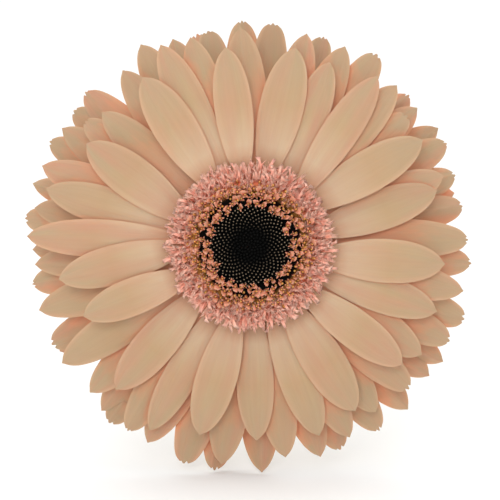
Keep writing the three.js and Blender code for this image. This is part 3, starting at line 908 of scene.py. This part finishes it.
class GERBERA_OT_open_florets(bpy.types.Operator):
    """Make the open disc florets, each with a wide curled lip, two thin lobes and its anthers"""

    bl_idname = "gerbera.open_florets"
    bl_label = "Open disc florets"

    def execute(self, context):
        look = settings("disc")
        radius, height = radii_and_heights("open_disc_florets")
        outer, top = radius.max(), height.max()
        buds = radii_and_heights("closed_disc_florets")[0].max()
        rng = np.random.default_rng(look.seed)
        kinds = []
        for _ in range(6):
            tall = top * rng.uniform(0.62, 0.8)
            trunk = [(0.26 * MM, 0, 0), (0.36 * MM, 0.7 * tall, 0.15), (0.5 * MM, tall, 0.4)]
            parts = [tube(trunk, sides=6)]
            lip = strap(
                rng.uniform(1.6, 2.3) * MM,
                width=rng.uniform(1.15, 1.5) * MM,
                curl=rng.uniform(1.3, 2.5),
                rows=6,
                columns=5,
                thickness=0.22 * MM,
                tip=0.7,
                teeth=rng.uniform(0.1, 0.22),
                twist=rng.uniform(-0.6, 0.6),
            )
            thin = [
                strap(
                    rng.uniform(1.0, 1.4) * MM,
                    width=0.45 * MM,
                    curl=rng.uniform(1.5, 2.8),
                    rows=5,
                    columns=3,
                    thickness=0.16 * MM,
                )
                for _ in range(2)
            ]
            for lobe, turn in ((lip, 0), (thin[0], 2.5), (thin[1], 3.8)):
                lobe[2]["along"] = 0.4 + 0.3 * lobe[2]["along"]
                spot = Matrix.Translation((0.35 * MM, 0, tall - 0.15 * MM))
                around = Matrix.Rotation(turn + rng.uniform(-0.3, 0.3), 4, "Z")
                parts.append(moved(lobe, around @ spot))
            reach = rng.uniform(0.7, 1.4) * MM
            anther = [
                (0.16 * MM, tall - 0.3 * MM, 0.8),
                (0.24 * MM, tall + 0.3 * reach, 0.85),
                (0.2 * MM, tall + 0.8 * reach, 0.95),
                (0.08 * MM, tall + reach, 1.0),
            ]
            parts.append(tube(anther, sides=6))
            kinds.append(parts)
        # Open floret: a small waxy tube, near-black at its foot, with fleshy lobes that glow a
        # little, and, from 0.8 along it, anthers dusted with dry ochre pollen.
        skin = tissue(
            "open_floret_tissue",
            [
                (0.0, look.tube_colour),
                (0.25, look.tube_colour),
                (0.45, look.lobe_colour),
                (0.7, look.lobe_tip_colour),
                (0.8, look.anther_colour),
                (1.0, look.pollen_colour),
            ],
            tint=look.lobe_colour,
            tint_share=0.3,
            grain_mm=0.25,
            grain_depth=0.03,
            Roughness=0.55,
            Subsurface_Weight=0.4,
            Subsurface_Scale=0.4 * MM,
        )
        mesh = arranged(
            "open",
            kinds,
            skin,
            look.open_count,
            look.seed,
            spin=math.radians(80),
            crowding=1.0,
            radius=(buds, outer + 0.7 * MM, 0.35 * MM),
            height=(-0.2 * MM, 0.5 * MM, 0.0),
            lean=np.radians((2, 12, 9)).tolist(),
            size=(1.0, 1.0, 0.2),
        )
        place("open_disc_floret_lobes", mesh, skin, "open_disc_floret", "open_disc_florets")
        anthers = []
        for _ in range(4):
            tall = top * rng.uniform(0.8, 1.0)
            column = [
                (0.2 * MM, 0, 0.3),
                (0.24 * MM, 0.5 * tall, 0.5),
                (0.34 * MM, 0.7 * tall, 0.8),
                (0.28 * MM, 0.93 * tall, 0.85),
                (0.1 * MM, tall, 1.0),
            ]
            anthers.append([tube(column, sides=6)])
        mesh = arranged(
            "anthers",
            anthers,
            skin,
            look.anther_count,
            look.seed + 1,
            crowding=0.9,
            radius=(outer - 2.0 * MM, outer + 0.9 * MM, 0.4 * MM),
            lean=np.radians((2, 18, 14)).tolist(),
            size=(1.0, 1.0, 0.1),
        )
        place("anther_columns", mesh, skin, "open_disc_floret")
        return {"FINISHED"}


def floret_bed(look, crest):
    """The bed of crowded floret bases: near-black under the disc, partly the buds' own black and
    partly painted shade between the florets, and pink under the crest.
    """
    edge = radii_and_heights("open_disc_florets")[0].max()
    # How far outside the disc's edge, how high, and how far along the colours each ring is.
    rings = (
        (2.5, 0.2, 1.0),
        (2.7, 0.6, 1.0),
        (1.6, 1.7, 1.0),
        (0.6, 2.1, 0.75),
        (-0.6, 2.0, 0.6),
        (-1.8, 1.6, 0.3),
        (-3.2, 1.3, 0.1),
        (-4.0, 1.2, 0.0),
    )
    profile = [(edge + out * MM, height * MM, share) for out, height, share in rings]
    profile.append((0.2 * MM, 1.2 * MM, 0.0))
    bed = tube(profile, sides=48)
    bed[2]["tint"] = np.zeros(len(bed[0]))
    mesh = mesh_of("floret_bed", [bed])
    # Floret bases: crowded and rough. Their near-black at the centre is partly the buds' own black
    # and partly painted shade, for the deep shade between the florets; they take the crest's pink
    # towards the outside.
    skin = tissue(
        "floret_base_tissue",
        [
            (0.25, look.bud_colour),
            (0.45, look.tube_colour),
            (0.7, look.anther_colour),
            (1.0, crest.deep_colour),
        ],
        tint=crest.deep_colour,
        tint_share=0.0,
        grain_mm=0.6,
        grain_depth=0.3,
        Roughness=0.8,
        Specular_IOR_Level=0.1,
    )
    place("floret_bed", mesh, skin, "closed_disc_floret")


class GERBERA_OT_closed_florets(bpy.types.Operator):
    """Make the dark, closed disc florets on their spirals"""

    bl_idname = "gerbera.closed_florets"
    bl_label = "Closed disc florets"

    def execute(self, context):
        look = settings("disc")
        radius, height = radii_and_heights("closed_disc_florets")
        top = height.max()
        half = look.bud / 2
        profile = [
            (0.75 * half, 0, 0),
            (half, top - 0.9 * MM, 0.2),
            (0.86 * half, top - 0.35 * MM, 0.5),
            (0.4 * half, top - 0.1 * MM, 0.8),
            (0.3 * half, top, 1.0),
        ]
        # Closed floret: a firm, dark bud with a dull skin. Its dry point is paler, and shows only
        # in the outer rings, which open first.
        surface = {"Roughness": 0.6, "Specular_IOR_Level": 0.15}
        material, tree, shader = new_material("closed_floret_tissue", **surface)
        shares = []
        for name, low, high in (("along", 0.78, 0.9), ("spread", 0.4, 0.85)):
            value = add(tree, "ShaderNodeAttribute", output="Fac", attribute_name=name)
            inputs = {"Value": value, "From Min": low, "From Max": high}
            shares.append(add(tree, "ShaderNodeMapRange", inputs))
        share = add(tree, "ShaderNodeMath", dict(enumerate(shares)), operation="MULTIPLY")
        inputs = {"Factor": share, "A": (*look.bud_colour, 1), "B": (*look.bud_tip_colour, 1)}
        skin = add(tree, "ShaderNodeMix", inputs, data_type="RGBA")
        tree.links.new(skin, shader.inputs["Base Color"])
        mesh = arranged(
            "buds",
            [[tube(profile, sides=6)]],
            material,
            look.bud_count,
            look.seed,
            crowding=0.54,
            radius=(0.0, radius.max() + 0.1 * MM, 0.0),
            height=(-0.5 * MM, 0.1 * MM, 0.05 * MM),
            lean=np.radians((0, 6, 2)).tolist(),
            size=(0.8, 1.02, 0.05),
        )
        place("closed_disc_buds", mesh, material, "closed_disc_floret", "closed_disc_florets")
        floret_bed(look, settings("crest"))
        return {"FINISHED"}


def cup():
    """The receptacle's neck radius, the height where its flank starts, and the cup's own radius."""
    radius, height = radii_and_heights("receptacle")
    neck = radius[height < height.min() + 0.01 * MM].max()
    return neck, height.min() + PAD_RADIUS - neck, PAD_RADIUS - neck


def bract_shell(look, offset, reach, tip):
    """One bract in the half plane at angle 0, round the receptacle's cup and out to its tip."""
    neck, flank, cup_radius = cup()
    bend = math.radians(50)  # how far it follows the cup round before it flares
    turn = np.linspace(0.03, bend, 9)
    ring = cup_radius + offset
    arc = np.stack((neck + ring * np.sin(turn), flank - ring * np.cos(turn)), 1)
    u = np.linspace(0, 1, 9)[1:, None]
    ease = arc[-1] + np.array((math.cos(bend), math.sin(bend))) * 2 * MM
    flare = (1 - u) ** 2 * arc[-1] + 2 * u * (1 - u) * ease + u**2 * (tip - (0, offset))
    path = np.concatenate((arc, flare))
    gone = np.concatenate(([0], np.cumsum(np.hypot(*np.diff(path, axis=0).T))))
    s = np.linspace(0, 1, 14)
    where = s * gone[-1] * reach
    r = np.interp(where, gone, path[:, 0])[:, None]
    z = np.interp(where, gone, path[:, 1])[:, None]
    s = s[:, None]
    t = np.linspace(-1, 1, 5)[None, :]
    half = look.bract_width / 2 * (0.06 + 0.94 * np.sin(math.pi * (0.3 + 0.7 * s)) ** 0.8)
    half = np.where(s < 0.3, look.bract_width / 2 * (0.5 + 0.4 * s / 0.3), half)
    angle = t * half / np.maximum(r, 3 * MM)
    lift = look.bract_thickness * (1 - 0.7 * t**2) * (1 - 0.5 * s)
    out = r + lift
    ridge = z - 0.3 * lift
    inner = np.stack((r * np.cos(angle), r * np.sin(angle), z + 0 * angle), 2)
    outer = np.stack((out * np.cos(angle), out * np.sin(angle), ridge + 0 * angle), 2)
    corners, faces = shell(inner, outer)
    return corners, faces, {"along": np.tile((s + 0 * t).ravel(), 2)}


class GERBERA_OT_involucre(bpy.types.Operator):
    """Make the rows of green bracts that hold the head, and finish the receptacle"""

    bl_idname = "gerbera.involucre"
    bl_label = "Bracts and receptacle"

    def execute(self, context):
        look = settings("green")
        radius, height = radii_and_heights("inner_bracts")
        tip = np.array((radius.max(), height[radius.argmax()]))
        # Bract: a firm, narrow green leaf with a dull, finely rough skin, which dries to brown at
        # its point.
        skin = tissue(
            "bract_tissue",
            [
                (0.0, look.stem_colour),
                (0.35, look.bract_colour),
                (0.85, look.bract_colour),
                (1.0, look.bract_tip_colour),
            ],
            tint=look.stem_colour,
            tint_share=0.35,
            grain_mm=0.5,
            grain_depth=0.08,
            Roughness=0.6,
            Subsurface_Weight=0.1,
            Subsurface_Scale=0.5 * MM,
        )
        # How far each row lies outside the receptacle's cup, and how much of its reach it has.
        rows = (
            ("inner_bract_row", 0.3 * MM, 1.0, ["inner_bracts"]),
            ("middle_bract_row", 0.9 * MM, 0.86, []),
            ("outer_bract_row", 1.5 * MM, 0.66, ["outer_bracts"]),
        )
        step = 2 * math.pi / look.bracts
        for number, (name, offset, reach, nodes) in enumerate(rows):
            kinds = [[bract_shell(look, offset, reach * k, tip)] for k in (1.0, 0.94, 0.98)]
            mesh = arranged(name, kinds, skin, look.bracts, number, turn=(step, 0.12 * step))
            mesh.transform(Matrix.Rotation(number * step / 2, 4, "Z"))
            row = place(name, mesh, skin, "bract", *nodes)
            downy(
                name,
                row,
                look,
                "bract",
                seed=number,
                density=0.8 / MM**2,
                length=0.7 * look.hair,
                thickness=0.8 * look.hair_width,
                tilt=0.6,
            )
        # Receptacle: fleshy tissue under a dull skin, which the feet of the florets leave blotched
        # with green and brown.
        shades = look.bract_tip_colour, look.bract_colour
        pad = mottled("receptacle_tissue", 2, *shades, Roughness=0.7)
        slots = frame["nodes"]["receptacle"].data.materials
        slots.clear()
        slots.append(pad)
        return {"FINISHED"}


class GERBERA_OT_scape(bpy.types.Operator):
    """Make the leafless, downy stem, cut square at its foot"""

    bl_idname = "gerbera.scape"
    bl_label = "Stem"

    def execute(self, context):
        look = settings("green")
        points = in_head(node_points("scape"))
        heights = np.unique(points[:, 2].round(4))
        rings = [points[np.abs(points[:, 2] - h) < 0.2 * MM] for h in heights]
        centres = np.array([ring.mean(0) for ring in rings])
        radii = np.array([np.hypot(*(r - c)[:, :2].T).max() for r, c in zip(rings, centres)])
        collar = cup()[0] + 1.4 * MM  # how wide it gets, just outside the receptacle's neck
        top = heights[-1] + 1.2 * MM  # a little past the CAD stem's end
        z = np.linspace(heights[0], top, 170)  # a ring about every 2 mm
        x = np.polyval(np.polyfit(heights, centres[:, 0], 4), z)
        radius = np.interp(z, heights, radii)
        flare = np.clip((z - top + look.neck_flare) / look.neck_flare, 0, 1) ** 3
        radius += (collar - radius) * flare
        sides = 24
        turn = np.arange(sides) / sides * 2 * math.pi
        ribs = 0.02 * np.cos(8 * turn) + 0.012 * np.cos(3 * turn + 1)
        around = radius[:, None] * (1 + ribs)
        rim = 0.25 * MM  # the cut edge is a little rounded
        around[0] -= rim
        rings = np.stack(
            (x[:, None] + around * np.cos(turn), around * np.sin(turn), z[:, None] + 0 * around), 2
        )
        rings[1, :, 2] = z[0] + rim
        corners, faces = capped(rings)
        shares = 1 - (z - z[0]) / (z[-1] - z[0])
        cut = np.zeros(len(corners))  # 1 at the middle of the cut end, and 0.6 at its edge
        cut[:sides] = 0.6
        cut[len(z) * sides] = 1
        extra = {
            "along": np.concatenate((np.repeat(shares, sides), [1.0, 0.0])),
            "cut": cut,
            "tint": np.zeros(len(cut)),
        }
        stem = mesh_of("stem", [(corners, faces, extra)])
        # Stem: a fleshy yellow-green stalk with a satin skin, pinker low down.
        skin = tissue(
            "scape_tissue",
            [(0.0, look.stem_colour), (0.75, look.stem_colour), (1.0, look.foot_colour)],
            tint=look.bract_colour,
            tint_share=0.3,
            grain_mm=0.6,
            grain_depth=0.06,
            Roughness=0.55,
            Subsurface_Weight=0.15,
            Subsurface_Scale=1.0 * MM,
        )
        # Where it is cut, its pale, moist pith shows inside the skin.
        tree = skin.node_tree
        base = tree.nodes["Principled BSDF"].inputs["Base Color"]
        share = add(tree, "ShaderNodeAttribute", output="Fac", attribute_name="cut")
        inputs = {"Value": share, "From Min": 0.5, "From Max": 0.7}
        share = add(tree, "ShaderNodeMapRange", inputs)
        inputs = {"Factor": share, "A": base.links[0].from_socket, "B": (*look.pith_colour, 1)}
        tree.links.new(add(tree, "ShaderNodeMix", inputs, data_type="RGBA"), base)
        stem = place("stem", stem, skin, "stalk", "scape")
        downy(
            "stem",
            stem,
            look,
            "stalk",
            seed=5,
            density=0.9 / MM**2,
            length=look.hair,
            thickness=look.hair_width,
            tilt=0.7,
            clearance=1.2 * look.hair,
        )
        return {"FINISHED"}


class GERBERA_OT_stage(bpy.types.Operator):
    """Make the pale floor, the soft light and the camera that looks down onto the face"""

    bl_idname = "gerbera.stage"
    bl_label = "Stage"

    def execute(self, context):
        look = settings("stage")
        scene = context.scene
        half = look.floor_size / 2
        floor = bpy.data.meshes.new("floor")
        corners = [(-half, -half, 0), (half, -half, 0), (half, half, 0), (-half, half, 0)]
        floor.from_pydata(corners, [], [(0, 1, 2, 3)])
        # Floor: matt white paper, which spreads the light evenly and mirrors nothing.
        paper = new_material(
            "matte_paper",
            Base_Color=(*look.floor_colour, 1),
            Roughness=0.9,
            Specular_IOR_Level=0.1,
        )[0]
        floor.materials.append(paper)
        stand("floor", floor)

        world = bpy.data.worlds.new("soft_light")
        world.use_nodes = True
        sky = world.node_tree.nodes["Background"].inputs
        sky["Color"].default_value = (1, 1, 1, 1)
        sky["Strength"].default_value = look.sky
        scene.world = world
        scene.view_settings.view_transform = "Standard"

        centre = HEAD.translation
        box = bpy.data.lights.new("soft_box", "AREA")
        box.energy = look.key
        box.size = 0.5
        lamp = stand("soft_box", box)
        box_place = Vector((-0.1, 0.16, 0.95))  # out in front of the face, a little up and left
        lamp.location = centre + HEAD.to_3x3() @ box_place
        lamp.rotation_euler = (centre - lamp.location).to_track_quat("-Z", "Y").to_euler()

        above = bpy.data.lights.new("overhead", "SUN")
        above.energy = look.overhead
        above.angle = math.radians(120)
        lamp = stand("overhead", above)
        lamp.rotation_euler.x = math.radians(-20)  # a little from behind, onto the stem

        data = bpy.data.cameras.new("camera")
        data.lens = look.lens
        data.sensor_width = 36
        camera = stand("camera", data)
        width = CAD_BOX[1][0] - CAD_BOX[0][0]
        distance = width / look.share * data.lens / data.sensor_width
        aim = HEAD @ Vector(((CAD_BOX[0][0] + CAD_BOX[1][0]) / 2, -look.drop, 0))
        camera.location = aim + HEAD.to_3x3() @ Vector((0, 0, distance))
        camera.rotation_euler = HEAD.to_3x3().to_euler()
        scene.camera = camera
        return {"FINISHED"}


OPERATORS = (
    GERBERA_OT_stage,
    GERBERA_OT_rays,
    GERBERA_OT_crest,
    GERBERA_OT_open_florets,
    GERBERA_OT_closed_florets,
    GERBERA_OT_involucre,
    GERBERA_OT_scape,
)
SETTINGS = {
    "rays": RaySettings,
    "crest": CrestSettings,
    "disc": DiscSettings,
    "green": GreenSettings,
    "stage": StageSettings,
}


class GERBERA_PT_panel(bpy.types.Panel):
    """Lists the flower's pieces and their settings"""

    bl_idname = "GERBERA_PT_panel"
    bl_label = "Cut gerbera"
    bl_space_type = "VIEW_3D"
    bl_region_type = "UI"
    bl_category = "Gerbera"

    def draw(self, context):
        for operator in OPERATORS:
            self.layout.operator(operator.bl_idname)
        for name, group in SETTINGS.items():
            box = self.layout.box()
            box.label(text=name.capitalize())
            for key in group.__annotations__:
                box.prop(settings(name), key)


def register():
    for name, group in SETTINGS.items():
        bpy.utils.register_class(group)
        setattr(bpy.types.Scene, "gerbera_" + name, PointerProperty(type=group))
    for one in (*OPERATORS, GERBERA_PT_panel):
        bpy.utils.register_class(one)


def unregister():
    for one in (GERBERA_PT_panel, *reversed(OPERATORS)):
        bpy.utils.unregister_class(one)
    for name, group in reversed(SETTINGS.items()):
        delattr(bpy.types.Scene, "gerbera_" + name)
        bpy.utils.unregister_class(group)


def main():
    register()
    for operator in OPERATORS:
        family, name = operator.bl_idname.split(".")
        getattr(getattr(bpy.ops, family), name)()


if __name__ == "__main__":
    main()
